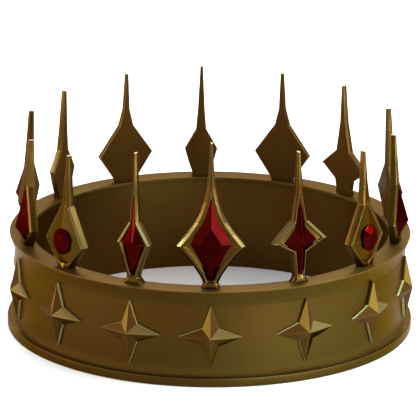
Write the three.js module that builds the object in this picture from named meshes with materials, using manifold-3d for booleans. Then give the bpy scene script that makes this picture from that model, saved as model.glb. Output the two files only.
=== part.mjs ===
// A round metal crown: a hollow band between two rims, fourteen jewelled spires and
// fourteen four-pointed star studs. Millimetres, +Z up, the front of the crown faces -Y.
// The origin is the centre of the underside, so the crown stands on z = 0.

import * as THREE from 'three';
import { mergeGeometries, mergeVertices } from 'three/addons/utils/BufferGeometryUtils.js';
import Module from 'manifold-3d';

const wasm = await Module();
wasm.setup();

// ---- driving dimensions ----
const headRadius = 88.9;            // inside of the liner: fits a head of about 56 cm
const rimRadius = 100;              // outer edge of the top rim
const footRadius = 101;             // outer edge of the bottom rim
const bandRadius = 97.5;            // outside of the outer band
const bandHeight = 48;              // underside to the top face of the top rim
const sheet = 1.2;                  // thickness of both bands
const rimPlate = 2.5;               // thickness of the top rim's flat ring
const flareHeight = 8;              // height of the flared lip under the top rim's edge
const flarePower = 1.35;            // above 1, so that the lip turns outwards more towards its top
const flareSteps = 4;
const ledgeEdge = 4.3;              // height of the bottom rim's outer edge
const ledgeRoot = 4.7;              // height of the bottom rim where the outer band stands
const footPlate = 2.5;              // thickness of the bottom rim's flat ring
const spireCount = 14;
const ringSteps = spireCount * 4;   // facets round the rings, four to each spire
const fitGap = 0.3;                 // room between a piece and the piece that holds it

const spireRadius = 93.3;           // middle of a spire's foot, and its tenon, from the crown's axis
const spireThickness = 4.2;
const tipThickness = 2.6;
const taperStart = 26;              // height above the rim where a spire starts to thin
const spireLean = 1.1;              // degrees towards the axis
const spireChamfer = 1.1;           // bevel round a spire's front face
const footFlare = 0.4;              // how far the foot's front edge steps outwards
const recessDepth = 2.2;            // depth of the gem's seat
const recessDraft = 0.6;            // how much wider the seat is at the front face
const girdleDepth = 0.7;            // how far a gem's widest outline lies behind the front face
const gemUndercut = 0.3;            // how much narrower a gem's back is
const ovalCrown = 2;                // width of the sloping facets round an oval gem
const ovalSides = 12;
const tenonRadius = 1;
const tenonLength = 4.8;            // below the foot, through the rim and the nut
const tenonRoot = 1;                // length of the tenon inside the spire's foot
const tenonSides = 8;
const nutFlats = 4;
const nutThickness = 1.6;

const starHalfWidth = 15.25;
const starHalfHeight = 16;
const starNotch = [3.9, 4.5];       // the inner corners between the star's arms
const starCentre = 24.5;            // height of the star's centre
const starEdge = 1.1;               // thickness of the star's rim
const starApex = 5;                 // height of the star's centre above the band
const postRadius = 1.5;
const postLength = 2.4;             // behind the star, through the outer band
const postRoot = 1.5;               // length of the post inside the star
const postSides = 10;

// ---- looks ----
const agedGold = { color: 0x7a5a2a, roughness: 0.38, metalness: 1 };
const rubyGlass = { color: 0x6b0f12, roughness: 0.08, metalness: 0 };
const plainBrass = { color: 0x8a7038, roughness: 0.5, metalness: 1 };

// ---- outlines ----
// Each is the right half of a symmetrical outline, from the top down, as [x, z],
// with z measured from the top face of the top rim.
const spireKinds = {
  kite: {
    outline: [
      [0.6, 72], [1.2, 60], [2, 50], [3.4, 43], [5.2, 37.6], [7.6, 32.8], [11.6, 27],
      [16.5, 21], [12.1, 16], [8.4, 11.2], [5.4, 6.6], [3.6, 2.9], [4.5, 0],
    ],
    gem: [[0, 45.6], [2.6, 37.6], [5.6, 31], [9.9, 22], [6.3, 16.6], [3.4, 10.6], [1.7, 4]],
    table: [[0, 30.3], [1.2, 28.6], [2.9, 26.2], [5.3, 22.1], [3.7, 18.2], [2.1, 12.6], [1, 7]],
    proud: 1.3,
  },
  star: {
    outline: [[0.6, 65], [1.9, 45], [4.1, 31], [14.5, 20.8], [4, 14.8], [2.9, 2.9], [4.5, 0]],
    gem: [[0, 43.6], [2.6, 27.6], [8.8, 20.8], [2.6, 15.4], [1.1, 3.9]],
    apex: [0, 21],
    proud: 2.6,
  },
  blade: {
    outline: [
      [0.6, 64.7], [1.6, 43], [2.5, 30.5], [8.6, 20.2], [5.6, 12.6], [3.2, 4], [3.2, 2.9], [5.4, 0],
    ],
    gem: [[0, 43.8], [1.4, 31], [5.5, 20.2], [3.4, 12.6], [1.3, 3.9]],
    table: [[0, 21.6], [0.9, 21.2], [3, 20.3], [1.6, 15], [0.4, 10]],
    proud: 2,
  },
  oval: {
    outline: [[0.6, 57.5], [1.7, 42], [3, 31], [14, 13.4], [6, 2.6], [4.4, 0]],
    ovalGem: { halfWidth: 6.2, halfHeight: 6.6, centre: 14.2 },
    proud: 3.4,
  },
  pyramid: {
    outline: [[0.6, 54], [1.9, 40], [3.2, 30], [12.5, 13], [6.2, 2.8], [4.6, 0]],
    gem: [[0, 31], [2.2, 25], [8.4, 13], [3.6, 4.6], [1.2, 2.2]],
    apex: [0, 12.6],
    proud: 4.6,
  },
  widePyramid: {
    outline: [[0.6, 56], [1.9, 40], [3.2, 27.5], [16, 12.3], [6.2, 2.8], [4.6, 0]],
    gem: [[0, 30], [2.2, 24], [11, 12.3], [4, 4.6], [1.2, 2.2]],
    apex: [0, 12.4],
    proud: 4.6,
  },
  backStar: {
    outline: [[0.6, 57.5], [1.8, 38], [4.6, 22.6], [15, 14], [5.6, 7.4], [4.6, 2.5], [4.8, 0]],
    gem: [[0, 34], [2.8, 20.4], [9, 14], [3, 9.4], [1, 3.2]],
    apex: [0, 14],
    proud: 2.6,
  },
  backKite: {
    outline: [[0.6, 57.6], [1.5, 38.6], [3.7, 30], [14.9, 14.5], [6, 1.6], [5.3, 0]],
    gem: [[0, 33], [3.2, 24.4], [8.6, 14.6], [4.2, 7], [1.6, 2.8]],
    table: [[0, 21.6], [2, 18.2], [4.6, 14.6], [2.6, 10], [1.2, 6.6]],
    proud: 1.3,
  },
  backBlade: {
    outline: [[0.6, 59], [1.7, 36], [2.6, 24.8], [8.3, 14.6], [6.4, 7.8], [4.4, 2], [4.4, 0]],
    gem: [[0, 35], [1.4, 25], [5.1, 14.6], [3.4, 7.8], [1.3, 3]],
    table: [[0, 16], [0.9, 15.6], [2.9, 14.7], [1.6, 10.6], [0.4, 7]],
    proud: 2,
  },
};

// Going round from the front, anticlockwise seen from above. The pieces are fitted by hand:
// height is a spire's own height, drop lowers its widest level, and turn and starTurn are
// how far the spire and the star below it stand from their even places, in degrees.
const stations = [
  { kind: 'kite', height: 72, drop: 0, turn: -2.3, starTurn: -2.3 },
  { kind: 'star', height: 65, drop: 0, turn: -0.8, starTurn: 0 },
  { kind: 'oval', height: 57.5, drop: 0, turn: 0, starTurn: 0 },
  { kind: 'pyramid', height: 54.7, drop: 1.5, turn: 0, starTurn: 0 },
  { kind: 'widePyramid', height: 57, drop: 0, turn: -1.4, starTurn: 2 },
  { kind: 'backStar', height: 57.5, drop: 0, turn: 1.2, starTurn: 0 },
  { kind: 'backKite', height: 57.6, drop: 0, turn: -0.4, starTurn: 0 },
  { kind: 'backBlade', height: 59, drop: 0, turn: 0.5, starTurn: -2.3 },
  { kind: 'backKite', height: 57.6, drop: 0, turn: 0, starTurn: 0 },
  { kind: 'backBlade', height: 56.1, drop: 0, turn: 0.4, starTurn: 0 },
  { kind: 'widePyramid', height: 55.6, drop: 0, turn: -1.2, starTurn: -5 },
  { kind: 'pyramid', height: 53, drop: 3.5, turn: 0, starTurn: 0 },
  { kind: 'oval', height: 56, drop: 0.9, turn: 0.3, starTurn: 0 },
  { kind: 'blade', height: 64.7, drop: 0.3, turn: 0, starTurn: 0 },
];
const neckHeight = 30;              // the outline is not lowered above this

// ---- geometry helpers ----

// The whole outline from its right half, anticlockwise seen from the front (-Y).
function mirrored(half) {
  const left = half.filter(([x]) => x > 0).map(([x, z]) => [-x, z]);
  const right = half.slice().reverse();
  return [...right, ...left];
}

// The outline moved inwards by distance, and by less where it is narrow.
const narrowShare = 0.45;           // the most of its half width that a narrow place gives up
const leastMitre = 0.5;             // keeps sharp corners from running away
function inset(points, distance) {
  return points.map(([x, z], i) => {
    const before = points[(i + points.length - 1) % points.length];
    const after = points[(i + 1) % points.length];
    const a = new THREE.Vector2(x - before[0], z - before[1]).normalize();
    const b = new THREE.Vector2(after[0] - x, after[1] - z).normalize();
    const normal = new THREE.Vector2(-a.y - b.y, a.x + b.x).normalize();
    const mitre = Math.max(Math.abs(normal.dot(new THREE.Vector2(-a.y, a.x))), leastMitre);
    const reach = Math.min(distance, narrowShare * Math.abs(x)) / mitre;
    return [x + normal.x * reach, z + normal.y * reach];
  });
}

// A solid through a stack of outlines with equal point counts, from the back to the front.
// Each level is { points: [[x, z], ...], y }; a last level of one point makes an apex.
function stacked(levels) {
  const vertices = [];
  const indices = [];
  const starts = levels.map(({ points, y }) => {
    const start = vertices.length / 3;
    points.forEach(([x, z]) => vertices.push(x, y, z));
    return start;
  });
  for (let level = 0; level + 1 < levels.length; level += 1) {
    const count = levels[level].points.length;
    const single = levels[level + 1].points.length === 1;
    for (let i = 0; i < count; i += 1) {
      const j = (i + 1) % count;
      const [back, front] = [starts[level], starts[level + 1]];
      if (single) {
        indices.push(back + i, back + j, front);
      } else {
        indices.push(back + i, back + j, front + j, back + i, front + j, front + i);
      }
    }
  }
  const cap = (level, flip) => {
    const outline = levels[level].points.map(([x, z]) => new THREE.Vector2(x, z));
    THREE.ShapeUtils.triangulateShape(outline, []).forEach(([a, b, c]) => {
      const face = flip ? [a, c, b] : [a, b, c];
      indices.push(...face.map((i) => starts[level] + i));
    });
  };
  cap(0, true);
  if (levels.at(-1).points.length > 1) cap(levels.length - 1, false);
  const geometry = new THREE.BufferGeometry();
  geometry.setAttribute('position', new THREE.Float32BufferAttribute(vertices, 3));
  geometry.setIndex(indices);
  return geometry;
}

function toSolid(geometry) {
  const bare = geometry.clone();
  bare.deleteAttribute('normal');
  bare.deleteAttribute('uv');
  const merged = mergeVertices(bare, 1e-4);
  return new wasm.Manifold(new wasm.Mesh({
    numProp: 3,
    vertProperties: new Float32Array(merged.attributes.position.array),
    triVerts: new Uint32Array(merged.index.array),
  }));
}

function toGeometry(solid) {
  const mesh = solid.getMesh();
  const geometry = new THREE.BufferGeometry();
  geometry.setAttribute('position', new THREE.Float32BufferAttribute(mesh.vertProperties, 3));
  geometry.setIndex(Array.from(mesh.triVerts));
  return geometry;
}

// A ring turned round the Z axis from a closed [r, z] section, listed anticlockwise.
function ring(section) {
  const points = [...section, section[0]].map(([r, z]) => new THREE.Vector2(r, z));
  const geometry = new THREE.LatheGeometry(points, ringSteps);
  geometry.rotateX(Math.PI / 2);
  return geometry;
}

// An upright round bar centred on the Z axis.
function uprightBar(radius, low, high, sides) {
  const bar = new THREE.CylinderGeometry(radius, radius, high - low, sides);
  bar.rotateX(Math.PI / 2);
  bar.translate(0, 0, (low + high) / 2);
  return bar;
}

// The bearing of a station in radians: 0 is the front, and it grows anticlockwise from above.
function bearing(i, degreesOff) {
  return (i * 2 * Math.PI) / spireCount + THREE.MathUtils.degToRad(degreesOff);
}

// Cuts the same hole at every bearing. hole is a geometry placed for the front.
function cutAllRound(geometry, hole, bearings) {
  let solid = toSolid(geometry);
  bearings.forEach((angle) => {
    solid = solid.subtract(toSolid(hole.clone().rotateZ(angle)));
  });
  return toGeometry(solid);
}

// ---- the band ----
const bandInside = bandRadius - sheet;
const linerOutside = headRadius + sheet;
const flareFoot = bandHeight - flareHeight;

function makeOuterBand() {
  const shell = ring([
    [bandInside, ledgeRoot], [bandRadius, ledgeRoot],
    [bandRadius, flareFoot], [bandInside, flareFoot],
  ]);
  const hole = new THREE.CylinderGeometry(postRadius + fitGap, postRadius + fitGap, 6 * sheet, postSides);
  hole.translate(0, -bandRadius, starCentre);
  return cutAllRound(shell, hole, stations.map(({ starTurn }, i) => bearing(i, starTurn)));
}

function makeInnerBand() {
  return ring([
    [headRadius, 0], [linerOutside, 0],
    [linerOutside, bandHeight - rimPlate], [headRadius, bandHeight - rimPlate],
  ]);
}

function makeTopRim() {
  const plateUnderside = bandHeight - rimPlate;
  const lip = Array.from({ length: flareSteps + 1 }, (_, i) => {
    const share = i / flareSteps;
    return [bandRadius + (rimRadius - bandRadius) * share ** flarePower, flareFoot + flareHeight * share];
  });
  const rim = ring([
    [headRadius, plateUnderside], [bandInside, plateUnderside], [bandInside, flareFoot],
    ...lip, [headRadius, bandHeight],
  ]);
  const hole = uprightBar(tenonRadius + fitGap, plateUnderside - rimPlate, bandHeight + rimPlate, tenonSides);
  hole.translate(0, -spireRadius, 0);
  return cutAllRound(rim, hole, stations.map(({ turn }, i) => bearing(i, turn)));
}

function makeBottomRim() {
  return ring([
    [linerOutside, 0], [footRadius, 0], [footRadius, ledgeEdge],
    [bandRadius, ledgeRoot], [bandInside, ledgeRoot],
    [bandInside, footPlate], [linerOutside, footPlate],
  ]);
}

// ---- spires and gems ----
const frontFace = -(spireRadius + spireThickness / 2);
const backFace = -(spireRadius - spireThickness / 2);

function raised(points) {
  return points.map(([x, z]) => [x, z + bandHeight]);
}

// A spire kind with a station's own height, and with its widest level moved down by drop.
function fitted({ kind: kindName, height, drop }) {
  const kind = spireKinds[kindName];
  const [, widest] = kind.outline.reduce((a, b) => (b[0] > a[0] ? b : a));
  const moved = ([x, z]) => {
    if (z <= widest) return [x, (z * (widest - drop)) / widest];
    if (z <= neckHeight) return [x, z - (drop * (neckHeight - z)) / (neckHeight - widest)];
    return [x, z];
  };
  const fit = { ...kind, height };
  fit.outline = [[kind.outline[0][0], height], ...kind.outline.slice(1).map(moved)];
  if (kind.gem) fit.gem = kind.gem.map(moved);
  if (kind.table) fit.table = kind.table.map(moved);
  if (kind.apex) fit.apex = moved(kind.apex);
  if (kind.ovalGem) {
    const [, centre] = moved([0, kind.ovalGem.centre]);
    fit.ovalGem = { ...kind.ovalGem, centre };
  }
  return fit;
}

// Thins a spire's solid from its front towards the tip, flares its foot and leans it inwards.
function shaped(geometry, kind) {
  const position = geometry.attributes.position;
  const [, footTop] = kind.outline.at(-2);
  const slope = Math.tan(THREE.MathUtils.degToRad(spireLean));
  for (let i = 0; i < position.count; i += 1) {
    const z = position.getZ(i) - bandHeight;
    const share = Math.max(0, (z - taperStart) / (kind.height - taperStart));
    const depth = (backFace - position.getY(i)) * (1 - share * (1 - tipThickness / spireThickness));
    const flare = (footFlare * Math.max(0, 1 - z / footTop) * depth) / spireThickness;
    position.setY(i, backFace - depth - flare + slope * z);
  }
  return geometry;
}

function ovalOutline({ halfWidth, halfHeight, centre }) {
  return Array.from({ length: ovalSides }, (_, i) => {
    const turn = ((i + 0.5) * 2 * Math.PI) / ovalSides;
    return [halfWidth * Math.cos(turn), centre + halfHeight * Math.sin(turn)];
  });
}

// The outline of the gem's seat in a spire.
function seatOutline(kind) {
  return kind.ovalGem ? ovalOutline(kind.ovalGem) : mirrored(kind.gem);
}

function makeSpire(kind) {
  const outline = raised(mirrored(kind.outline));
  const front = inset(outline, spireChamfer).map(([x, z]) => [x, Math.max(z, bandHeight)]);
  const plate = shaped(stacked([
    { points: outline, y: backFace },
    { points: outline, y: frontFace + spireChamfer },
    { points: front, y: frontFace },
  ]), kind);
  const seat = raised(seatOutline(kind));
  const grow = (distance) => inset(seat, -distance);
  const seatFloor = frontFace + recessDepth;
  const cutter = shaped(stacked([
    { points: grow(fitGap), y: seatFloor },
    { points: grow(fitGap + recessDraft), y: frontFace },
    { points: grow(fitGap + 1.5 * recessDraft), y: frontFace - recessDepth / 2 },
  ]), kind);
  const tenon = uprightBar(tenonRadius, bandHeight - tenonLength, bandHeight + tenonRoot, tenonSides);
  tenon.translate(0, -spireRadius, 0);
  return toGeometry(toSolid(plate).subtract(toSolid(cutter)).add(toSolid(tenon)));
}

function makeGem(kind) {
  const girdle = raised(seatOutline(kind));
  const back = frontFace + recessDepth - fitGap;
  const levels = [
    { points: inset(girdle, gemUndercut), y: back },
    { points: girdle, y: frontFace + girdleDepth },
  ];
  const crest = frontFace - kind.proud;
  if (kind.table) {
    levels.push({ points: raised(mirrored(kind.table)), y: crest });
  } else if (kind.apex) {
    levels.push({ points: raised([kind.apex]), y: crest });
  } else {
    levels.push({ points: inset(girdle, ovalCrown), y: crest });
  }
  return shaped(stacked(levels), kind);
}

function makeNut() {
  const corner = nutFlats / Math.sqrt(3);
  const outside = new THREE.CylinderGeometry(corner, corner, nutThickness, 6);
  outside.rotateX(Math.PI / 2);
  const bore = uprightBar(tenonRadius + fitGap, -nutThickness, nutThickness, tenonSides);
  const nut = toGeometry(toSolid(outside).subtract(toSolid(bore)));
  nut.translate(0, -spireRadius, bandHeight - rimPlate - nutThickness / 2);
  return nut;
}

// ---- star studs ----
// The star's flat outline is bent round the band: x runs along the band's surface.
function bentRoundBand(geometry, radius) {
  const position = geometry.attributes.position;
  for (let i = 0; i < position.count; i += 1) {
    const turn = position.getX(i) / radius;
    const reach = radius - position.getY(i);
    position.setXYZ(i, reach * Math.sin(turn), -reach * Math.cos(turn), position.getZ(i));
  }
  return geometry;
}

function makeStar() {
  const [notchX, notchZ] = starNotch;
  const half = [
    [0, starHalfHeight], [notchX, notchZ], [starHalfWidth, 0], [notchX, -notchZ], [0, -starHalfHeight],
  ];
  const outline = mirrored(half).map(([x, z]) => [x, z + starCentre]);
  const body = stacked([
    { points: outline, y: -2 * fitGap },
    { points: outline, y: -2 * fitGap - starEdge },
    { points: [[0, starCentre]], y: -starApex },
  ]);
  const star = bentRoundBand(body, bandRadius);
  const post = new THREE.CylinderGeometry(postRadius, postRadius, postLength + postRoot, postSides);
  post.translate(0, -bandRadius + (postLength - postRoot) / 2, starCentre);
  return toGeometry(toSolid(star).add(toSolid(post)));
}

// ---- assembly ----
const group = new THREE.Group();

function addPiece(parent, name, geometry, look) {
  const mesh = new THREE.Mesh(geometry, new THREE.MeshStandardMaterial(look));
  mesh.name = name;
  parent.add(mesh);
}

addPiece(group, 'outer_band', makeOuterBand(), agedGold);
addPiece(group, 'inner_band', makeInnerBand(), agedGold);
addPiece(group, 'top_rim', makeTopRim(), agedGold);
addPiece(group, 'bottom_rim', makeBottomRim(), agedGold);

stations.forEach((entry, i) => {
  const kind = fitted(entry);
  const place = String(i + 1).padStart(2, '0');
  const spireStation = new THREE.Group();
  spireStation.rotation.z = bearing(i, entry.turn);
  addPiece(spireStation, `spire_${place}`, makeSpire(kind), agedGold);
  addPiece(spireStation, `gem_${place}`, makeGem(kind), rubyGlass);
  addPiece(spireStation, `spire_nut_${place}`, makeNut(), plainBrass);
  const starStation = new THREE.Group();
  starStation.rotation.z = bearing(i, entry.starTurn);
  addPiece(starStation, `star_stud_${place}`, makeStar(), agedGold);
  group.add(spireStation, starStation);
});

export default group;
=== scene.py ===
"""A metal crown with jewelled spires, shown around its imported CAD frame.

Everything is in metres in the CAD frame: +Z up, the front of the crown towards -Y, the
underside on z = 0. Lengths are written in millimetres and multiplied by MM, apart from those
of the lights, the floor and the camera. Hidden tenons, posts and their holes are left to the CAD.
"""
import math

import bmesh
import bpy
from mathutils import Matrix, Vector


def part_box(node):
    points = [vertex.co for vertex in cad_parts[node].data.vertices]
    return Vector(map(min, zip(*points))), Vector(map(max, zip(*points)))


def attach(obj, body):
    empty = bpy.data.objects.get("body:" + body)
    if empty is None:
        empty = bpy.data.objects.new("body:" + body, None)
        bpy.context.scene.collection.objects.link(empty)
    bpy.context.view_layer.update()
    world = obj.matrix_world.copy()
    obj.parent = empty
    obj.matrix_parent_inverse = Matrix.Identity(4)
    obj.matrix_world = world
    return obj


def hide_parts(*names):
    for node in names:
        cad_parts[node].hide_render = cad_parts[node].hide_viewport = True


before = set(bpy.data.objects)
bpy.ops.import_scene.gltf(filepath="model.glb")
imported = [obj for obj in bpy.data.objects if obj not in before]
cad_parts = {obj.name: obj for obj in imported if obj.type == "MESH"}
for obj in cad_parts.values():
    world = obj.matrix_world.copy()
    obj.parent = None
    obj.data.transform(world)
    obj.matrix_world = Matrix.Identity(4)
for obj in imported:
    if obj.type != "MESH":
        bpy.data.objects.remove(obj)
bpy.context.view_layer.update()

MM = 0.001

# ---- places taken from the frame ----
RIM_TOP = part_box("top_rim")[1][2] / MM
RIM_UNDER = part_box("inner_band")[1][2] / MM
RIM_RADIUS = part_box("top_rim")[1][0] / MM
FOOT_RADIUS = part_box("bottom_rim")[1][0] / MM
FOOT_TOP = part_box("outer_band")[0][2] / MM
FLARE_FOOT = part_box("outer_band")[1][2] / MM
BAND_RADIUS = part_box("outer_band")[1][0] / MM
LINER_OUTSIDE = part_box("inner_band")[1][0] / MM
NUT_LOW, NUT_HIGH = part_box("spire_nut_08")
TENON_PLACE = math.hypot(*[(low + high) / 2 / MM for low, high in zip(NUT_LOW[:2], NUT_HIGH[:2])])
STAR_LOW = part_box("star_stud_01")[0][2] / MM
STAR_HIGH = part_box("star_stud_01")[1][2] / MM
SPIRE_COUNT = sum(name.startswith("spire_") and "nut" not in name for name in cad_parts)
RIM_PLATE = RIM_TOP - RIM_UNDER

# ---- sizes in millimetres ----
SHEET = 1.2                     # thickness of both bands
HEAD_RADIUS = LINER_OUTSIDE - SHEET
THICKNESS = 4.2                 # of a spire at its foot
TIP_THICKNESS = 2.6             # of a spire at its tip
TAPER_START = 26                # height above the rim where a spire starts to thin
LEAN = math.tan(math.radians(1.1))
SPIRE_FRONT = TENON_PLACE + THICKNESS / 2
SPIRE_BACK = TENON_PLACE - THICKNESS / 2
SEAT_DEPTH = 0.8                # of a gem's seat behind the ridge
BOSS_SEAT_DEPTH = 0.6           # the same at the edge of a seat that rises in the middle
FOOT_FLARE = 0.35               # how far a spire's foot steps outwards
WALL_SHARE = 0.95               # how much of a bevel's width it takes back from the front
SPIRE_BEVEL = 0.07              # widths of the small roundings
GEM_BEVEL = 0.05
STUD_BEVEL = 0.06

# ---- finish ----
# Shares of the tints that faces and points carry in their attributes.
BEVEL_WEAR = 0.5
RING_WEAR = 0.2
RIM_MATT = 0.5
FOOT_MATT = 0.8
WALL_MATT = 0.25
# share of dark matt tint on a stud's side facets, which is painted shade on its left side
STUD_MATT_AND_SHADE = 0.8
STUD_TINT = 0.95                # share of the painted highlight and painted greenish reflection tints on a stud's facets
STUD_SHINE = 0.6                # share of pale painted highlight on a stud's walls
STUD_LEFT_SHINE = 0.75          # the same, on the upper wall of its left arm
MATT_FOOT = 5                   # height of the matt zone above the ledge
CHAMFER_HIGHLIGHT = 0.32           # painted highlight on a spire's bevels just above its widest level
WALL_HIGHLIGHT = 0.13              # and on its side walls
HIGHLIGHT_REACH = 16               # height over which that painted highlight fades out

# Tints of the metals, in the order in which they are mixed in, then their edge colours.
# matt tint of cast gold, which on a stud's darker facets stands for painted shade
CAST_MATT_AND_SHADE = (0.044, 0.0175, 0.0021)
SHEET_MATT = (0.085, 0.042, 0.0065)
# painted highlight: the gold on the left half of a stud's upper arm
PAINTED_GLEAM = (0.15, 0.078, 0.011)
# painted reflection: the greenish gold on the upper half of a stud's right arm
PAINTED_REFLECTION = (0.108, 0.072, 0.022)
WORN = (0.16, 0.10, 0.03)
# pale painted highlight on spire tips, bevels and walls and on stud walls
PAINTED_HIGHLIGHT = (0.60, 0.49, 0.19)
CAST_EDGE = (0.52, 0.40, 0.32)
SHEET_EDGE = (0.74, 0.60, 0.47)
MATT_ROUGHNESS = 0.25           # how much rougher a fully matt face is
METAL_MATT = 0.25               # what metallic falls to where a face is fully matt or bright
METAL_SPECULAR = 0.05
GLOSS_DOWN = 0.04               # how far the roughness strays either side of its own value
GLOSS_UP = 0.05
CLOUD_SCALE = 30.0              # of the noise in the metals' colour, gloss and grain
GLOSS_SCALE = 120.0
GRAIN_SCALE = 900.0
BRUSHED_STRETCH = (30.0, 1800.0, 1.0)
BRUSHED_BUMP = 0.12
CAST_BUMP = 0.035
BUMP_DISTANCE = 0.00008         # metres

# Tints of the stones.
# painted red light on the stones' facets
PAINTED_RED_LIGHT = (0.14, 0.004, 0.004)
RUBY_DARK = (0.015, 0.0005, 0.0004)
RUBY_LIGHT = (0.022, 0.0007, 0.0005)
RUBY_EDGE = (0.5, 0.26, 0.25)
RUBY_METALLIC = 0.96
RUBY_SPECULAR = 0.1
RUBY_ROUGHNESS = (0.10, 0.17)
RUBY_CLOUD_SCALE = 90.0
RUBY_GLOSS_SCALE = 300.0


# ---- materials ----
def new_material(name):
    """An empty node material with its Principled shader."""
    material = bpy.data.materials.new(name)
    material.use_nodes = True
    nodes = material.node_tree.nodes
    nodes.clear()
    output = nodes.new("ShaderNodeOutputMaterial")
    shader = nodes.new("ShaderNodeBsdfPrincipled")
    material.node_tree.links.new(shader.outputs["BSDF"], output.inputs["Surface"])
    return material, nodes, material.node_tree.links, shader


def noise(nodes, links, vector, scale, detail=4.0, stretch=None):
    """A noise value over vector, stretched by three factors if given."""
    texture = nodes.new("ShaderNodeTexNoise")
    texture.inputs["Scale"].default_value = scale
    texture.inputs["Detail"].default_value = detail
    if stretch:
        mapping = nodes.new("ShaderNodeMapping")
        mapping.inputs["Scale"].default_value = stretch
        links.new(vector, mapping.inputs["Vector"])
        vector = mapping.outputs["Vector"]
    links.new(vector, texture.inputs["Vector"])
    return texture.outputs["Fac"]


def ramp(nodes, links, value, stops):
    """A colour ramp through (position, colour) stops."""
    node = nodes.new("ShaderNodeValToRGB")
    elements = node.color_ramp.elements
    while len(elements) < len(stops):
        elements.new(0.5)
    for element, (position, colour) in zip(elements, stops):
        element.position = position
        element.color = (*colour, 1.0)
    links.new(value, node.inputs["Fac"])
    return node.outputs["Color"]


def spread(nodes, links, value, low, high, from_low=0.3, from_high=0.7):
    """value moved from one range to another."""
    node = nodes.new("ShaderNodeMapRange")
    node.inputs["From Min"].default_value = from_low
    node.inputs["From Max"].default_value = from_high
    node.inputs["To Min"].default_value = low
    node.inputs["To Max"].default_value = high
    links.new(value, node.inputs["Value"])
    return node.outputs["Result"]


def mix_colour(nodes, links, factor, first, second):
    """first where factor is 0, second where it is 1."""
    node = nodes.new("ShaderNodeMix")
    node.data_type = "RGBA"
    links.new(factor, node.inputs["Factor"])
    for socket, colour in ((node.inputs[6], first), (node.inputs[7], second)):
        if isinstance(colour, tuple):
            socket.default_value = (*colour, 1.0)
        else:
            links.new(colour, socket)
    return node.outputs[2]


def aged_gold(name, dark, light, roughness, edge_tint, matt_and_shade_tint, brushed=False):
    """Antique gold with faint clouds. Its faces' attributes mix in the matt tint, which is painted shade
    on a stud's darker facets, a painted highlight, a painted greenish reflection, the worn tint and a
    pale painted highlight, and faces fully matt or fully under the pale painted highlight are less
    metallic."""
    material, nodes, links, shader = new_material(name)
    place = nodes.new("ShaderNodeTexCoord").outputs["Object"]
    clouds = noise(nodes, links, place, CLOUD_SCALE, 3.0)
    colour = ramp(nodes, links, clouds, [(0.3, dark), (0.7, light)])
    # Apart from the worn tint, these shares paint light: highlights and a greenish reflection, and
    # through the matt share also shade on a stud's facets.
    tints = {"matt_and_shade": matt_and_shade_tint, "painted_gleam": PAINTED_GLEAM, "painted_reflection": PAINTED_REFLECTION, "wear": WORN, "painted_highlight": PAINTED_HIGHLIGHT}
    shares = {}
    for attribute, tint in tints.items():
        share = nodes.new("ShaderNodeAttribute")
        share.attribute_name = attribute
        shares[attribute] = share.outputs["Fac"]
        colour = mix_colour(nodes, links, share.outputs["Fac"], colour, tint)
    links.new(colour, shader.inputs["Base Color"])
    diffuse = nodes.new("ShaderNodeMath")
    diffuse.operation = "ADD"
    links.new(shares["painted_highlight"], diffuse.inputs[0])
    links.new(shares["matt_and_shade"], diffuse.inputs[1])
    metal = spread(nodes, links, diffuse.outputs["Value"], 1.0, METAL_MATT, 0.0, 1.0)
    links.new(metal, shader.inputs["Metallic"])
    shader.inputs["Specular Tint"].default_value = (*edge_tint, 1.0)
    shader.inputs["Specular IOR Level"].default_value = METAL_SPECULAR
    gloss = noise(nodes, links, place, GLOSS_SCALE, 5.0)
    height = noise(nodes, links, place, GRAIN_SCALE, 3.0)
    if brushed:
        along = nodes.new("ShaderNodeUVMap").outputs["UV"]
        gloss = noise(nodes, links, along, 1.0, 5.0, BRUSHED_STRETCH)
        height = gloss
    satin = nodes.new("ShaderNodeMath")
    satin.operation = "MULTIPLY_ADD"
    satin.inputs[1].default_value = MATT_ROUGHNESS
    links.new(shares["matt_and_shade"], satin.inputs[0])
    even = spread(nodes, links, gloss, roughness - GLOSS_DOWN, roughness + GLOSS_UP)
    links.new(even, satin.inputs[2])
    links.new(satin.outputs["Value"], shader.inputs["Roughness"])
    bump = nodes.new("ShaderNodeBump")
    bump.inputs["Strength"].default_value = BRUSHED_BUMP if brushed else CAST_BUMP
    bump.inputs["Distance"].default_value = BUMP_DISTANCE
    links.new(height, bump.inputs["Height"])
    links.new(bump.outputs["Normal"], shader.inputs["Normal"])
    return material


def ruby(name):
    """Deep red faceted stone: a dark body with painted red light mixed in where its facets carry a share
    of it.
    """
    material, nodes, links, shader = new_material(name)
    place = nodes.new("ShaderNodeTexCoord").outputs["Object"]
    clouds = noise(nodes, links, place, RUBY_CLOUD_SCALE, 2.0)
    colour = ramp(nodes, links, clouds, [(0.3, RUBY_DARK), (0.7, RUBY_LIGHT)])
    # painted red light, by each facet's share
    painted_red_light = nodes.new("ShaderNodeAttribute")
    painted_red_light.attribute_name = "painted_red_light"
    colour = mix_colour(nodes, links, painted_red_light.outputs["Fac"], colour, PAINTED_RED_LIGHT)
    links.new(colour, shader.inputs["Base Color"])
    gloss = noise(nodes, links, place, RUBY_GLOSS_SCALE)
    links.new(spread(nodes, links, gloss, *RUBY_ROUGHNESS), shader.inputs["Roughness"])
    shader.inputs["Metallic"].default_value = RUBY_METALLIC
    shader.inputs["Specular Tint"].default_value = (*RUBY_EDGE, 1.0)
    shader.inputs["Specular IOR Level"].default_value = RUBY_SPECULAR
    return material


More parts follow.
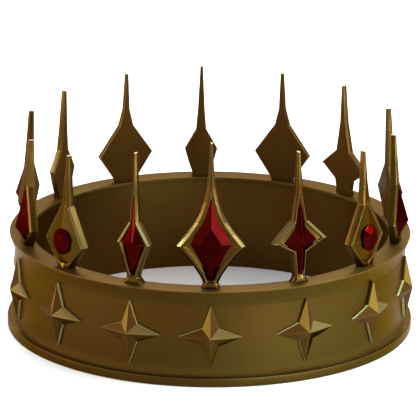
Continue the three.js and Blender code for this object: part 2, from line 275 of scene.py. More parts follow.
GOLD = aged_gold(
    "aged_gold", (0.044, 0.0215, 0.0036), (0.053, 0.0265, 0.0046), 0.26, CAST_EDGE, CAST_MATT_AND_SHADE,
)
BAND_GOLD = aged_gold(
    "band_gold", (0.046, 0.0225, 0.0037), (0.054, 0.0265, 0.0045), 0.36, SHEET_EDGE, SHEET_MATT, True,
)
LINER_GOLD = aged_gold(
    "liner_gold", (0.072, 0.033, 0.0056), (0.086, 0.041, 0.007), 0.40, SHEET_EDGE, SHEET_MATT, True,
)
BRASS = aged_gold(
    "nut_brass", (0.30, 0.19, 0.05), (0.40, 0.27, 0.08), 0.4, SHEET_EDGE, SHEET_MATT,
)
RUBY = ruby("ruby")


# ---- mesh helpers ----
def add_object(name, mesh, material, node):
    """Puts a finished mesh in the scene in place of its CAD node."""
    piece = bpy.data.objects.new(name, mesh)
    bpy.context.scene.collection.objects.link(piece)
    mesh.materials.append(material)
    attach(piece, "root")
    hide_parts(node)


def bevelled(bm, width, segments=2, least=math.radians(14)):
    """Rounds every crease sharper than least, and marks the rounded faces as worn."""
    bmesh.ops.recalc_face_normals(bm, faces=bm.faces)
    wear = bm.faces.layers.float.new("wear")
    creases = [e for e in bm.edges if len(e.link_faces) == 2 and e.calc_face_angle(0) > least]
    made = bmesh.ops.bevel(
        bm, geom=creases, offset=width, offset_type="OFFSET", segments=segments,
        profile=0.5, affect="EDGES", clamp_overlap=True,
    )
    for face in made["faces"]:
        face[wear] = BEVEL_WEAR


def to_mesh(bm, name, smooth=math.radians(30)):
    """A mesh with smooth shading, except across edges sharper than smooth."""
    mesh = bpy.data.meshes.new(name)
    for face in bm.faces:
        face.smooth = True
    for edge in bm.edges:
        if len(edge.link_faces) == 2 and edge.calc_face_angle(0) > smooth:
            edge.smooth = False
    bm.to_mesh(mesh)
    bm.free()
    return mesh


# ---- rings ----
RING_STEPS = SPIRE_COUNT * 24
LONGEST_WORN = 0.5              # longer stretches of a section are not worn
RIM_EDGE = 0.5                  # depth of the matt zone below the top of the rim
LEDGE_EDGE = 0.2                # how far the matt zone of the foot reaches below the band
FLARE_STEPS = 8
FLARE_POWER = 1.35              # above 1, so that the lip turns outwards more towards its top


def rounded_section(points, arc_points=3):
    """The points of a closed section of (r, z, corner radius), with its corners rounded.

    Each point comes with 1.0 if it is on a rounding, and with 0.0 if it isn't."""
    out = []
    count = len(points)
    for i, (r, z, radius) in enumerate(points):
        corner = Vector((r, z))
        if radius == 0:
            out.append((corner, 0.0))
            continue
        before = Vector(points[i - 1][:2]) - corner
        after = Vector(points[(i + 1) % count][:2]) - corner
        half = before.angle(after) / 2
        reach = min(radius / math.tan(half), 0.45 * before.length, 0.45 * after.length)
        start = corner + before.normalized() * reach
        end = corner + after.normalized() * reach
        for k in range(arc_points + 1):
            t = k / arc_points
            point = start * (1 - t) ** 2 + corner * 2 * t * (1 - t) + end * t ** 2
            out.append((point, 1.0))
    return out


def ring_mesh(name, section, matt_at=None):
    """A closed ring turned from a rounded section, with UVs along the ring and round the section.

    matt_at gives the share of matt finish at a height."""
    bm = bmesh.new()
    wear = bm.faces.layers.float.new("wear")
    matt_and_shade = bm.verts.layers.float.new("matt_and_shade")
    uv = bm.loops.layers.uv.new("UVMap")
    profile = rounded_section(section)
    lengths = [0.0]
    for i in range(len(profile)):
        lengths.append(lengths[-1] + (profile[(i + 1) % len(profile)][0] - profile[i][0]).length * MM)
    rows = []
    for step in range(RING_STEPS):
        turn = 2 * math.pi * step / RING_STEPS
        rows.append([
            bm.verts.new((p.x * MM * math.sin(turn), -p.x * MM * math.cos(turn), p.y * MM))
            for p, _ in profile
        ])
        if matt_at:
            for vert, (p, _) in zip(rows[-1], profile):
                vert[matt_and_shade] = matt_at(p.y)
    around = 2 * math.pi * BAND_RADIUS * MM
    for step in range(RING_STEPS):
        here, following = rows[step], rows[(step + 1) % RING_STEPS]
        for i in range(len(profile)):
            j = (i + 1) % len(profile)
            face = bm.faces.new((here[i], following[i], following[j], here[j]))
            rounded = profile[i][1] and profile[j][1]
            short = (profile[i][0] - profile[j][0]).length < LONGEST_WORN
            face[wear] = RING_WEAR if rounded and short else 0.0
            corners = ((step, i), (step + 1, i), (step + 1, i + 1), (step, i + 1))
            for loop, (a, b) in zip(face.loops, corners):
                loop[uv].uv = (around * a / RING_STEPS, lengths[b])
    bmesh.ops.recalc_face_normals(bm, faces=bm.faces)
    return to_mesh(bm, name)


def rim_matt(z):
    """The share of matt on the rims: some on the flat top, none below it."""
    return RIM_MATT if z > RIM_TOP - RIM_EDGE else 0.0


def foot_matt(z):
    """The share of matt on the foot of the band, which fades out above the ledge."""
    if z <= FOOT_TOP - LEDGE_EDGE:
        return 0.0
    return FOOT_MATT * min(max(1 - (z - FOOT_TOP) / MATT_FOOT, 0.0), 1.0)


def make_rings():
    """The two bands and the two rims."""
    inside = BAND_RADIUS - SHEET
    band = [
        (inside, FOOT_TOP, 0), (BAND_RADIUS, FOOT_TOP, 0.15), (BAND_RADIUS, FOOT_TOP + MATT_FOOT, 0),
        (BAND_RADIUS, FLARE_FOOT, 0.0), (inside, FLARE_FOOT, 0),
    ]
    liner = [
        (HEAD_RADIUS, 0, 0.5), (LINER_OUTSIDE, 0, 0.1),
        (LINER_OUTSIDE, RIM_UNDER, 0.1), (HEAD_RADIUS, RIM_UNDER, 0.0),
    ]
    flare = [(BAND_RADIUS, FLARE_FOOT, 0)]
    for i in range(1, FLARE_STEPS):
        t = i / FLARE_STEPS
        z = FLARE_FOOT + (RIM_TOP - FLARE_FOOT) * t
        flare.append((BAND_RADIUS + (RIM_RADIUS - BAND_RADIUS) * t ** FLARE_POWER, z, 0))
    top = [
        (HEAD_RADIUS, RIM_UNDER, 0), (inside, RIM_UNDER, 0), (inside, FLARE_FOOT, 0), *flare,
        (RIM_RADIUS, RIM_TOP, 0.35), (HEAD_RADIUS, RIM_TOP, 0.45),
    ]
    bottom = [
        (LINER_OUTSIDE, 0, 0), (FOOT_RADIUS, 0, 0.35), (FOOT_RADIUS, FOOT_TOP - 0.4, 0.4),
        (BAND_RADIUS + 0.3, FOOT_TOP - 0.03, 0.15), (BAND_RADIUS, FOOT_TOP, 0), (inside, FOOT_TOP, 0),
        (inside, RIM_PLATE, 0), (LINER_OUTSIDE, RIM_PLATE, 0),
    ]
    for name, section, matt_at, material, node, slot in (
        ("outer_band_sheet", band, foot_matt, BAND_GOLD, "outer_band", "outer_band"),
        ("inner_band_liner", liner, None, LINER_GOLD, "inner_band", "inner_band"),
        ("top_rim_ring", top, rim_matt, BAND_GOLD, "top_rim", "rims"),
        ("bottom_rim_ring", bottom, foot_matt, BAND_GOLD, "bottom_rim", "rims"),
    ):
        add_object(name, ring_mesh(name, section, matt_at), material, node)


# ---- spires ----
# Right halves of the symmetrical outlines, from the top down, as (x, z) above the top rim.
# border is (chamfer, flat, slope): the widths of the bevel, of the flat ridge and of the
# slope down to the gem's seat. seat is (top of the slope, top of the floor, foot of the slope).
# gem is the stone's widest outline. Its front is a flat table, or an apex. proud is how far
# the front stands out, and the share of painted red light is given for (every facet, facets that look
# up). An oval stone is (half width, half height, height of its middle), and boss is how far its seat
# rises.
KINDS = {
    "kite": {
        "outline": [
            (0.6, 72), (1.2, 60), (2, 50), (3.4, 43), (5.2, 37.6), (7.6, 32.8), (11.6, 27),
            (16.5, 21), (12.1, 16), (8.4, 11.2), (5.4, 6.6), (3.6, 2.9), (4.5, 0),
        ],
        "border": (1.3, 1.3, 0.9), "seat": (49.0, 46.4, 3.3),
        "gem": [(0, 45.6), (2.6, 37.6), (5.6, 31), (9.9, 22), (6.5, 16.4), (3.8, 10.6), (2.1, 3.9)],
        "table": [(0, 30.3), (1.2, 28.6), (2.9, 26.2), (5.3, 22.1), (3.7, 18.2), (2.1, 12.6), (1, 7)],
        "proud": 1.3, "painted_red_light": (0, 0),
    },
    "star": {
        "outline": [(0.6, 65), (1.9, 45), (4.1, 31), (14.5, 20.8), (4, 14.8), (2.9, 2.9), (4.5, 0)],
        "border": (1.1, 0.5, 0.6), "seat": (46.0, 44.6, 3.2),
        "gem": [(0, 43.6), (2.6, 27.6), (8.8, 20.8), (2.6, 15.4), (1.1, 3.9)],
        "apex": (0, 21), "proud": 2.6, "painted_red_light": (0.02, 0.5),
    },
    "blade": {
        "outline": [
            (0.6, 64.7), (1.6, 43), (2.5, 30.5), (8.6, 20.2), (5.6, 12.6), (3.2, 4), (3.2, 2.9),
            (5.4, 0),
        ],
        "border": (1.0, 0.8, 0.7), "seat": (46.0, 44.6, 3.2),
        "gem": [(0, 43.8), (1.4, 31), (5.5, 20.2), (3.4, 12.6), (1.3, 3.9)],
        "table": [(0, 21.6), (0.9, 21.2), (3, 20.3), (1.6, 15), (0.4, 10)],
        "proud": 2.0, "painted_red_light": (0.05, 0.1),
    },
    "oval": {
        "outline": [(0.6, 57.5), (1.7, 42), (3, 31), (14, 13.4), (6, 2.6), (4.4, 0)],
        "border": (0.8, 0.5, 0.6), "seat": (33.0, 31.4, 1.9),
        "oval": (6.0, 6.6, 14.2), "boss": 1.7, "proud": 3.4, "painted_red_light": (0.10, 0.14),
    },
    "pyramid": {
        "outline": [(0.6, 54), (1.9, 40), (3.2, 30), (12.5, 13), (6.2, 2.8), (4.6, 0)],
        "border": (1.0, 0.6, 0.6), "seat": (33.0, 31.6, 1.6),
        "gem": [(0, 31), (2.2, 25), (8.4, 13), (3.6, 4.6), (1.2, 2.2)],
        "apex": (0, 12.6), "proud": 4.6, "painted_red_light": (0.05, 0.05),
    },
    "wide_pyramid": {
        "outline": [(0.6, 56), (1.9, 40), (3.2, 27.5), (16, 12.3), (6.2, 2.8), (4.6, 0)],
        "border": (1.1, 0.8, 0.6), "seat": (33.0, 31.6, 1.6),
        "gem": [(0, 30), (2.2, 24), (11, 12.3), (4, 4.6), (1.2, 2.2)],
        "apex": (0, 12.4), "proud": 4.6, "painted_red_light": (0.05, 0.05),
    },
    "back_star": {
        "outline": [(0.6, 57.5), (1.8, 38), (4.6, 22.6), (15, 14), (5.6, 7.4), (4.6, 2.5), (4.8, 0)],
        "border": (1.1, 0.5, 0.6), "seat": (37.0, 35.6, 2.6),
        "gem": [(0, 34), (2.8, 20.4), (9, 14), (3, 9.4), (1, 3.2)],
        "apex": (0, 14), "proud": 2.6, "painted_red_light": (0.02, 0.5),
    },
    "back_kite": {
        "outline": [(0.6, 57.6), (1.5, 38.6), (3.7, 30), (14.9, 14.5), (6, 1.6), (5.3, 0)],
        "border": (1.3, 1.3, 0.9), "seat": (36.0, 33.8, 2.0),
        "gem": [(0, 33), (3.2, 24.4), (8.6, 14.6), (4.2, 7), (1.6, 2.8)],
        "table": [(0, 21.6), (2, 18.2), (4.6, 14.6), (2.6, 10), (1.2, 6.6)],
        "proud": 1.3, "painted_red_light": (0, 0),
    },
    "back_blade": {
        "outline": [(0.6, 59), (1.7, 36), (2.6, 24.8), (8.3, 14.6), (6.4, 7.8), (4.4, 2), (4.4, 0)],
        "border": (1.0, 0.8, 0.7), "seat": (37.0, 35.6, 2.2),
        "gem": [(0, 35), (1.4, 25), (5.1, 14.6), (3.4, 7.8), (1.3, 3)],
        "table": [(0, 16), (0.9, 15.6), (2.9, 14.7), (1.6, 10.6), (0.4, 7)],
        "proud": 2.0, "painted_red_light": (0.05, 0.1),
    },
}
# Each station round the rim: kind, how far its widest level sits below the kind's own, and
# how far the stud below it stands from its even place, in degrees. The spires' heights and
# bearings come from the frame.
STATIONS = [
    ("kite", 0, -2.3), ("star", 0, 0), ("oval", 0, 0), ("pyramid", 1.5, 0),
    ("wide_pyramid", 0, 2), ("back_star", 0, 0), ("back_kite", 0, 0), ("back_blade", 0, -2.3),
    ("back_kite", 0, 0), ("back_blade", 0, 0), ("wide_pyramid", 0, -5), ("pyramid", 3.5, 0),
    ("oval", 0.9, 0), ("blade", 0.3, 0),
]
NECK_HEIGHT = 30.0              # an outline is not lowered above this


def lowered(kind, height, drop):
    """A copy of a kind with its own height, and with its widest level moved down."""
    outline = kind["outline"]
    widest = max(outline)[1]

    def moved(z):
        if z <= widest:
            return z * (widest - drop) / widest
        if z <= NECK_HEIGHT:
            return z - drop * (NECK_HEIGHT - z) / (NECK_HEIGHT - widest)
        return z

    out = dict(kind)
    out["outline"] = [(outline[0][0], height)] + [(x, moved(z)) for x, z in outline[1:]]
    for line in ("gem", "table"):
        if line in kind:
            out[line] = [(x, moved(z)) for x, z in kind[line]]
    if "apex" in kind:
        out["apex"] = (0, moved(kind["apex"][1]))
    if "oval" in kind:
        out["oval"] = (*kind["oval"][:2], moved(kind["oval"][2]))
    out["widest"] = moved(widest)
    return out


def width_at(half, z):
    """Half width of a right half outline at height z, and 0 above or below it."""
    if z > half[0][1] + 1e-9 or z < half[-1][1] - 1e-9:
        return 0.0
    for (x0, z0), (x1, z1) in zip(half, half[1:]):
        if z1 - 1e-9 <= z <= z0 + 1e-9:
            return x0 if z0 == z1 else x0 + (x1 - x0) * (z0 - z) / (z0 - z1)
    return 0.0


def inset_half(half, distance):
    """The right half outline moved inwards. Its ends keep their heights."""
    out = []
    for i, (x, z) in enumerate(half):
        before = Vector(half[max(i - 1, 0)])
        after = Vector(half[min(i + 1, len(half) - 1)])
        here = Vector((x, z))
        normals = [
            Vector((d.y, -d.x)).normalized() for d in (here - before, after - here) if d.length > 0
        ]
        bisector = sum(normals, Vector((0, 0))).normalized()
        reach = distance / max(bisector.dot(normals[0]), 0.5)
        moved = here + bisector * reach
        if i in (0, len(half) - 1):
            moved = Vector((x - distance / max(-normals[0].x, 0.3), z))
        out.append((moved.x, moved.y))
    return out


ROW_GAP = 0.12                  # least height between two rows of a spire's mesh
RIDGE_SHARE = 0.35              # least half width of the ridge against the outline's
LEAST_BEVEL = 0.3               # least widths of the bevel, the ridge and the slope
LEAST_RIDGE = 0.15
LEAST_SLOPE = 0.2
SEAT_HALF = 1.0                 # least half widths of the seat and of its floor
FLOOR_HALF = 0.6
SEAT_FOOT_HALF = 1.9            # the same at the foot of the seat
FLOOR_FOOT_HALF = 1.4
FLOOR_FOOT_RISE = 0.4           # the seat's floor starts this far above the seat's foot
NARROW_SEAT = 1.2               # a seat without a floor gets shallower below this half width
NARROW_DEPTH = 0.8
NO_FLOOR = 0.02                 # half width below which the seat has no floor


def spire_rows(kind):
    """(height, half widths of the outline, ridge, seat and seat floor, seat depth) from the top down."""
    outline = kind["outline"]
    chamfer, flat, slope = kind["border"]
    seat_top, floor_top, seat_foot = kind["seat"]
    inner = [point for point in outline[1:-1] if seat_foot < point[1] < seat_top]
    ridge = inset_half(outline, chamfer)
    brink = inset_half(outline, chamfer + flat)
    floor = inset_half(outline, chamfer + flat + slope)

    def middle(line):
        return [line[outline.index(point)] for point in inner]

    brink = [
        (0, seat_top), *[(max(x, SEAT_HALF), z) for x, z in middle(brink) if z < seat_top - 1],
        (SEAT_FOOT_HALF, seat_foot),
    ]
    floor = [
        (0, floor_top), *[(max(x, FLOOR_HALF), z) for x, z in middle(floor) if z < floor_top - 1],
        (FLOOR_FOOT_HALF, seat_foot + FLOOR_FOOT_RISE),
    ]
    heights = {z for line in (outline, ridge, brink, floor) for _, z in line}
    heights = sorted((z for z in heights if 0 <= z <= outline[0][1]), reverse=True)
    kept = [heights[0]]
    for z in heights[1:]:
        if kept[-1] - z > ROW_GAP or z == 0:
            kept.append(z)
    rows = []
    for z in kept:
        edge = width_at(outline, z)
        top = min(max(width_at(ridge, z), RIDGE_SHARE * edge), edge - LEAST_BEVEL)
        seat = max(min(width_at(brink, z), top - LEAST_RIDGE), 0.0)
        base = min(width_at(floor, z), max(seat - LEAST_SLOPE, 0.0))
        depth = SEAT_DEPTH
        if base <= NO_FLOOR:
            depth = SEAT_DEPTH * min(seat / NARROW_SEAT, 1.0) * NARROW_DEPTH
        rows.append((z, edge, top, seat, base, depth))
    return rows


WELD = 0.01                     # points closer than this are merged
SLIVER = 0.005                  # edges shorter than this are removed
FLAT_ANGLE = math.radians(1.0)  # faces closer to flat than this become one


def spire_mesh(name, kind):
    """A spire in the front position: back plate, bevelled ridge and the sunk seat.

    Under an oval stone the seat rises in the middle, into the stone's hidden back."""
    bm = bmesh.new()
    wall = SPIRE_FRONT - kind["border"][0] * WALL_SHARE
    seat_top = kind["seat"][0]
    foot_top = kind["outline"][-2][1]
    rows = []
    for z, edge, top, seat, base, depth in spire_rows(kind):
        middle = depth
        if "boss" in kind and base > NO_FLOOR:
            depth = BOSS_SEAT_DEPTH
            widest = kind["widest"]
            share = z / widest if z < widest else (seat_top - z) / (seat_top - widest)
            middle = depth - (kind["boss"] + depth) * max(share, 0.0)
        foot = FOOT_FLARE * max(0.0, 1 - z / foot_top)
        front = SPIRE_FRONT + foot
        right = [
            (edge, SPIRE_BACK), (edge, wall + foot), (top, front), (seat, front),
            (base, SPIRE_FRONT - depth + foot), (0, SPIRE_FRONT - middle + foot),
        ]
        across = [(-x, r) for x, r in right] + [(x, r) for x, r in reversed(right[:-1])]
        rows.append([bm.verts.new((x * MM, -r * MM, (z + RIM_TOP) * MM)) for x, r in across])
    painted_highlight = bm.faces.layers.float.new("painted_highlight")
    matt_and_shade = bm.faces.layers.float.new("matt_and_shade")
    last = len(rows[0]) - 1
    for upper, lower in zip(rows, rows[1:]):
        # Painted highlight on the bevels and side walls, fading out upwards from the widest level.
        share = ((upper[0].co.z + lower[0].co.z) / 2 / MM - RIM_TOP - kind["widest"]) / HIGHLIGHT_REACH
        highlight = 1 - share if 0 < share < 1 else 0.0
        for i in range(len(upper)):
            j = (i + 1) % len(upper)
            face = bm.faces.new((upper[i], lower[i], lower[j], upper[j]))
            if i == last:
                face[matt_and_shade] = 1.0
            elif i in (0, last - 1):
                face[matt_and_shade] = WALL_MATT
                face[painted_highlight] = WALL_HIGHLIGHT * highlight
            elif i in (1, last - 2):
                face[painted_highlight] = CHAMFER_HIGHLIGHT * highlight
    # pale painted highlight on the top of the tip
    bm.faces.new(rows[0])[painted_highlight] = 1.0
    bm.faces.new(list(reversed(rows[-1])))
    bmesh.ops.remove_doubles(bm, verts=bm.verts, dist=WELD * MM)
    bmesh.ops.dissolve_degenerate(bm, edges=bm.edges, dist=SLIVER * MM)
    bmesh.ops.dissolve_limit(bm, angle_limit=FLAT_ANGLE, verts=bm.verts, edges=bm.edges)
    bevelled(bm, SPIRE_BEVEL * MM)
    return to_mesh(bm, name)


def mirrored(half):
    """The whole outline from its right half, anticlockwise seen from the front."""
    return list(reversed(half)) + [(-x, z) for x, z in half if x > 0]


GEM_CLEARANCE = 0.02            # between a stone's back and the floor of a flat seat
GIRDLE_HEIGHT = 0.15            # height of the upright edge round a stone
OVAL_SIDES = 12
OVAL_CREST = 0.55               # size of an oval stone's flat front against its widest outline
OVAL_WAIST = 1.3                # height of its widest outline above the ridge
LOW_FACET = 8                   # facets of a table stone below this height get a painted red glow
LOW_PAINTED_RED_LIGHT = 0.35


def gem_mesh(name, kind):
    """A faceted stone in the front position. Its hidden back is sunk a little into the seat's slopes."""
    bm = bmesh.new()
    if "oval" in kind:
        half_width, half_height, centre = kind["oval"]
        turns = [(i + 0.5) * 2 * math.pi / OVAL_SIDES for i in range(OVAL_SIDES)]
        girdle = [(half_width * math.cos(t), centre + half_height * math.sin(t)) for t in turns]
        crest = [
            (half_width * OVAL_CREST * math.cos(t), centre + half_height * OVAL_CREST * math.sin(t))
            for t in turns
        ]
    else:
        girdle = mirrored(kind["gem"])
        crest = mirrored(kind["table"]) if "table" in kind else None
    back = SPIRE_FRONT - SEAT_DEPTH + GEM_CLEARANCE
    waist = SPIRE_FRONT + OVAL_WAIST if "boss" in kind else back + GIRDLE_HEIGHT
    levels = [(girdle, back), (girdle, waist)]
    if crest:
        levels.append((crest, SPIRE_FRONT + kind["proud"]))
    loops = [
        [bm.verts.new((x * MM, -r * MM, (z + RIM_TOP) * MM)) for x, z in line] for line, r in levels
    ]
    for lower, upper in zip(loops, loops[1:]):
        for i in range(len(lower)):
            j = (i + 1) % len(lower)
            bm.faces.new((lower[i], lower[j], upper[j], upper[i]))
    bm.faces.new(list(reversed(loops[0])))
    if crest:
        bm.faces.new(loops[-1])
    else:
        x, z = kind["apex"]
        tip = bm.verts.new((x * MM, -(SPIRE_FRONT + kind["proud"]) * MM, (z + RIM_TOP) * MM))
        last = loops[-1]
        for i in range(len(last)):
            bm.faces.new((last[i], last[(i + 1) % len(last)], tip))
    bmesh.ops.recalc_face_normals(bm, faces=bm.faces)
    # Painted red light: a share on every facet, more on those that look up, and a fixed share on a table
    # stone's low facets.
    painted_red_light = bm.faces.layers.float.new("painted_red_light")
    for face in bm.faces:
        face.normal_update()
        even, above = kind["painted_red_light"]
        face[painted_red_light] = even + above * min(max(2 * face.normal.z, 0.0), 1.0)
        if "table" in kind and face.calc_center_median().z / MM - RIM_TOP < LOW_FACET:
            face[painted_red_light] = LOW_PAINTED_RED_LIGHT
    bevelled(bm, GEM_BEVEL * MM, 1, math.radians(3))
    return to_mesh(bm, name, math.radians(4))


STAR_ARM = 15.25                # half width of a stud
STAR_NOTCH = (3.9, 4.5)         # the inner corners between its arms
STAR_EDGE = 1.3                 # height of its walls above the band
STAR_APEX = 5.0                 # height of its middle
STAR_UNDERSIDE = 0.05           # how far its back clears the band


def star_mesh(name):
    """A four-pointed stud bent round the band, with a raised ridge on every arm."""
    bm = bmesh.new()
    centre = (STAR_LOW + STAR_HIGH) / 2
    tall = (STAR_HIGH - STAR_LOW) / 2
    notch_x, notch_z = STAR_NOTCH
    half = [(0, tall), (notch_x, notch_z), (STAR_ARM, 0), (notch_x, -notch_z), (0, -tall)]
    outline = [(x, z + centre) for x, z in mirrored(half)]
    sides = len(outline)
    verts = [
        [bm.verts.new((x, -reach, z)) for x, z in outline] for reach in (STAR_UNDERSIDE, STAR_EDGE)
    ]
    painted_highlight = bm.faces.layers.float.new("painted_highlight")
    painted_gleam = bm.faces.layers.float.new("painted_gleam")
    painted_reflection = bm.faces.layers.float.new("painted_reflection")
    matt_and_shade = bm.faces.layers.float.new("matt_and_shade")
    # Walls: a pale painted highlight all round, stronger on the upper wall of the left arm, except the
    # left wall of the upper arm, which is dark matt as painted shade.
    for i in range(sides):
        j = (i + 1) % sides
        wall = bm.faces.new((verts[0][i], verts[0][j], verts[1][j], verts[1][i]))
        middle = wall.calc_center_median()
        upwards = middle.z - centre
        if upwards > notch_z and middle.x < 0:
            wall[matt_and_shade] = 1.0
        elif upwards > 0:
            wall[painted_highlight] = STUD_LEFT_SHINE if middle.x < 0 else STUD_SHINE
        else:
            wall[painted_highlight] = STUD_SHINE
    tip = bm.verts.new((0, -STAR_APEX, centre))
    foot = bm.verts.new((0, -STAR_UNDERSIDE, centre))
    # Facets: on the upper arm a painted highlight on the left half and painted shade on the right, on
    # the right arm's upper half a painted greenish reflection, and painted shade on the rest of the left
    # side.
    for i in range(sides):
        j = (i + 1) % sides
        facet = bm.faces.new((verts[1][i], verts[1][j], tip))
        middle = facet.calc_center_median()
        sideways, upwards = middle.x, middle.z - centre
        if upwards > abs(sideways):
            facet[matt_and_shade] = 1.0
            facet[painted_gleam] = STUD_TINT if sideways < 0 else 0.0
        elif sideways > upwards > 0:
            facet[painted_reflection] = STUD_TINT
            facet[matt_and_shade] = STUD_MATT_AND_SHADE
        elif sideways < 0:
            facet[matt_and_shade] = STUD_MATT_AND_SHADE
        bm.faces.new((verts[0][j], verts[0][i], foot))
    bmesh.ops.subdivide_edges(bm, edges=bm.edges, cuts=3, use_grid_fill=True)
    for vert in bm.verts:
        turn = vert.co.x / BAND_RADIUS
        reach = BAND_RADIUS - vert.co.y
        vert.co = Vector((reach * math.sin(turn), -reach * math.cos(turn), vert.co.z)) * MM
    bevelled(bm, STUD_BEVEL * MM, 2, math.radians(12))
    return to_mesh(bm, name)


NUT_FLATS = 4.0
NUT_THICKNESS = 1.6
NUT_BORE = 1.15                 # radius of the bore
NUT_CHAMFER = 0.25
NUT_FACE = 0.93                 # round outline of the nut's faces against its corners
NUT_STEPS = 48
BORE_CHAMFER = 0.15


def nut_mesh(name):
    """A hexagon nut with chamfered corners on a spire's tenon."""
    bm = bmesh.new()
    thickness, bore = NUT_THICKNESS, NUT_BORE
    levels = []
    for z, corner in (
        (0.0, NUT_FACE), (NUT_CHAMFER, 1.0), (thickness - NUT_CHAMFER, 1.0), (thickness, NUT_FACE),
    ):
        ring = []
        for i in range(NUT_STEPS):
            turn = 2 * math.pi * i / NUT_STEPS
            flat = math.cos(math.pi / 6) / math.cos((turn % (math.pi / 3)) - math.pi / 6)
            reach = NUT_FLATS / math.sqrt(3) * min(flat, corner)
            ring.append(bm.verts.new((reach * math.sin(turn), -reach * math.cos(turn), z)))
        levels.append(ring)
    inner = []
    for z, wider in (
        (thickness, BORE_CHAMFER), (thickness - BORE_CHAMFER, 0.0), (BORE_CHAMFER, 0.0),
        (0.0, BORE_CHAMFER),
    ):
        inner.append([
            bm.verts.new(((bore + wider) * math.sin(t), -(bore + wider) * math.cos(t), z))
            for t in (2 * math.pi * i / NUT_STEPS for i in range(NUT_STEPS))
        ])
    levels += inner
    for k, ring in enumerate(levels):
        following = levels[(k + 1) % len(levels)]
        for i in range(NUT_STEPS):
            j = (i + 1) % NUT_STEPS
            bm.faces.new((ring[i], ring[j], following[j], following[i]))
    bm.faces.layers.float.new("wear")
    bmesh.ops.recalc_face_normals(bm, faces=bm.faces)
    low = RIM_UNDER - thickness
    for vert in bm.verts:
        vert.co = (vert.co + Vector((0, -TENON_PLACE, low))) * MM
    return to_mesh(bm, name, math.radians(25))


def thin_and_lean(mesh, height):
    """Thins a spire from its front towards the tip, and leans it towards the crown's axis."""
    for vert in mesh.vertices:
        z = vert.co.z / MM - RIM_TOP
        share = max(0.0, (z - TAPER_START) / (height - TAPER_START))
        depth = (-vert.co.y / MM - SPIRE_BACK) * (1 - share * (1 - TIP_THICKNESS / THICKNESS))
        vert.co.y = -(SPIRE_BACK + depth - LEAN * max(z, 0)) * MM


def place_all_round():
    """Builds the spires, gems, studs and nuts at their stations."""
    for i, (kind_name, drop, stud_off) in enumerate(STATIONS):
        number = f"{i + 1:02d}"
        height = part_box(f"spire_{number}")[1][2] / MM - RIM_TOP
        kind = lowered(KINDS[kind_name], height, drop)
        low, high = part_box(f"spire_nut_{number}")
        spire_turn = math.atan2(low[0] + high[0], -low[1] - high[1])
        stud_turn = 2 * math.pi * i / SPIRE_COUNT + math.radians(stud_off)
        pieces = (
            ("spire", spire_mesh(f"spire_cast_{number}", kind), GOLD, f"spire_{number}", "spires"),
            ("gem", gem_mesh(f"gem_cut_{number}", kind), RUBY, f"gem_{number}", "gems"),
            ("star", star_mesh(f"star_cast_{number}"), GOLD, f"star_stud_{number}", "star_studs"),
            ("nut", nut_mesh(f"nut_turned_{number}"), BRASS, f"spire_nut_{number}", "nuts"),
        )
        for part, mesh, material, node, slot in pieces:
            if part in ("spire", "gem"):
                thin_and_lean(mesh, height)
            turn = stud_turn if part == "star" else spire_turn
            mesh.transform(Matrix.Rotation(turn, 4, "Z"))
            add_object(mesh.name, mesh, material, node)


# ---- stage ----
AIM_HEIGHT = 0.05               # metres above the floor, where the area lights point
AREA_DISTANCE = 1.6
# name, azimuth and elevation in degrees, width and height in metres, watts, colour.
AREA_LIGHTS = (
    ("right", 80, 28, (1.7, 0.7), 17, (1, 0.9, 0.7)),
    ("left", -90, 13, (1.4, 0.5), 30, (1, 0.95, 0.85)),
    ("behind", 180, 40, (1.6, 0.6), 30, (0.8, 0.88, 1)),
    ("low_right", 43, 4, (1.9, 0.3), 40, (0.6, 0.82, 1)),
    ("low_left", -46, 4, (1.0, 0.3), 2.5, (1, 0.9, 0.75)),
)
# The floor light: bearing in degrees, distance from the axis and height in metres, watts, colour.
FLOOR_LIGHT = ("floor_right", 52, 0.19, 0.5, 24, (0.42, 0.75, 1))
FLOOR_LIGHT_CONE = math.radians(44)
FLOOR_LIGHT_RADIUS = 0.05
WORLD_STRENGTH = 0.85
FLOOR_COLOUR = (0.93, 0.93, 0.93, 1)
FLOOR_DROP = 0.0002             # metres between the foot of the crown and the floor


def area_light(name, azimuth, elevation, size, power, colour):
    """A soft rectangular light aimed at the crown. Azimuth 0 is the front, positive towards +X."""
    light = bpy.data.lights.new(name, "AREA")
    light.shape = "RECTANGLE"
    light.size, light.size_y = size
    light.energy = power
    light.color = colour
    lamp = bpy.data.objects.new(name, light)
    a, e = math.radians(azimuth), math.radians(elevation)
    outwards = Vector((math.sin(a) * math.cos(e), -math.cos(a) * math.cos(e), math.sin(e)))
    lamp.location = outwards * AREA_DISTANCE
    lamp.location.z += AIM_HEIGHT
    aim = Vector((0, 0, AIM_HEIGHT)) - lamp.location
    lamp.rotation_euler = aim.to_track_quat("-Z", "Y").to_euler()
    bpy.context.scene.collection.objects.link(lamp)


def floor_light(name, azimuth, reach, height, power, colour):
    """A soft lamp above the floor beside the band, so that the band has a bright floor to reflect."""
    light = bpy.data.lights.new(name, "SPOT")
    light.energy = power
    light.color = colour
    light.spot_size = FLOOR_LIGHT_CONE
    light.spot_blend = 1.0
    light.shadow_soft_size = FLOOR_LIGHT_RADIUS
    lamp = bpy.data.objects.new(name, light)
    a = math.radians(azimuth)
    lamp.location = Vector((math.sin(a) * reach, -math.cos(a) * reach, height))
    bpy.context.scene.collection.objects.link(lamp)


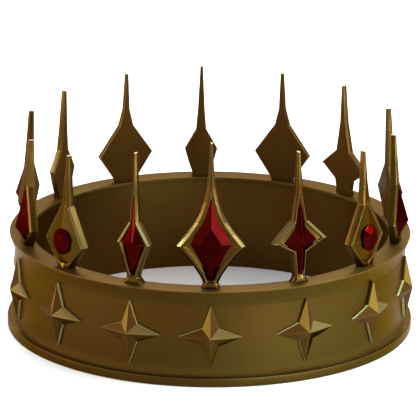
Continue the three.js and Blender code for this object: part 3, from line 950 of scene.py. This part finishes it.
def make_stage():
    """A plain pale floor, an even sky and soft lights all round."""
    bm = bmesh.new()
    bmesh.ops.create_grid(bm, x_segments=8, y_segments=8, size=12.0)
    for vert in bm.verts:
        vert.co.z = -FLOOR_DROP
    floor_mesh = bpy.data.meshes.new("floor")
    bm.to_mesh(floor_mesh)
    bm.free()
    floor = bpy.data.objects.new("floor", floor_mesh)
    bpy.context.scene.collection.objects.link(floor)
    material, _, _, shader = new_material("pale_floor")
    shader.inputs["Base Color"].default_value = FLOOR_COLOUR
    shader.inputs["Roughness"].default_value = 0.9
    floor_mesh.materials.append(material)
    world = bpy.data.worlds.new("soft_room")
    world.use_nodes = True
    world.node_tree.nodes["Background"].inputs["Color"].default_value = (1, 1, 1, 1)
    world.node_tree.nodes["Background"].inputs["Strength"].default_value = WORLD_STRENGTH
    bpy.context.scene.world = world
    for light in AREA_LIGHTS:
        area_light(*light)
    floor_light(*FLOOR_LIGHT)
    bpy.context.scene.view_settings.view_transform = "Standard"


# ---- camera ----
CAMERA_ELEVATION = 17.34
CAMERA_ROLL = -0.45
CAMERA_ORBIT = -2.6             # all three in degrees
CAMERA_TARGET = (-0.00012, 0, 0.05807)
CAMERA_DISTANCE = 2.505
CAMERA_LENS = 431.2


def make_camera():
    """A long lens, a little left of the front and a little above."""
    elevation = math.radians(CAMERA_ELEVATION)
    roll = math.radians(CAMERA_ROLL)
    orbit = Matrix.Rotation(math.radians(CAMERA_ORBIT), 3, "Z")
    right = Vector((1, 0, 0))
    up = Vector((0, math.sin(elevation), math.cos(elevation)))
    towards = Vector((0, math.cos(elevation), -math.sin(elevation)))
    camera_right = right * math.cos(roll) - up * math.sin(roll)
    camera_up = right * math.sin(roll) + up * math.cos(roll)
    data = bpy.data.cameras.new("camera")
    data.lens = CAMERA_LENS
    data.sensor_width = 36.0
    data.clip_start = 0.05
    data.clip_end = 60.0
    camera = bpy.data.objects.new("camera", data)
    axes = Matrix((orbit @ camera_right, orbit @ camera_up, orbit @ -towards)).transposed()
    place = orbit @ (Vector(CAMERA_TARGET) - towards * CAMERA_DISTANCE)
    camera.matrix_world = Matrix.Translation(place) @ axes.to_4x4()
    bpy.context.scene.collection.objects.link(camera)
    bpy.context.scene.camera = camera


make_camera()
make_rings()
place_all_round()
make_stage()
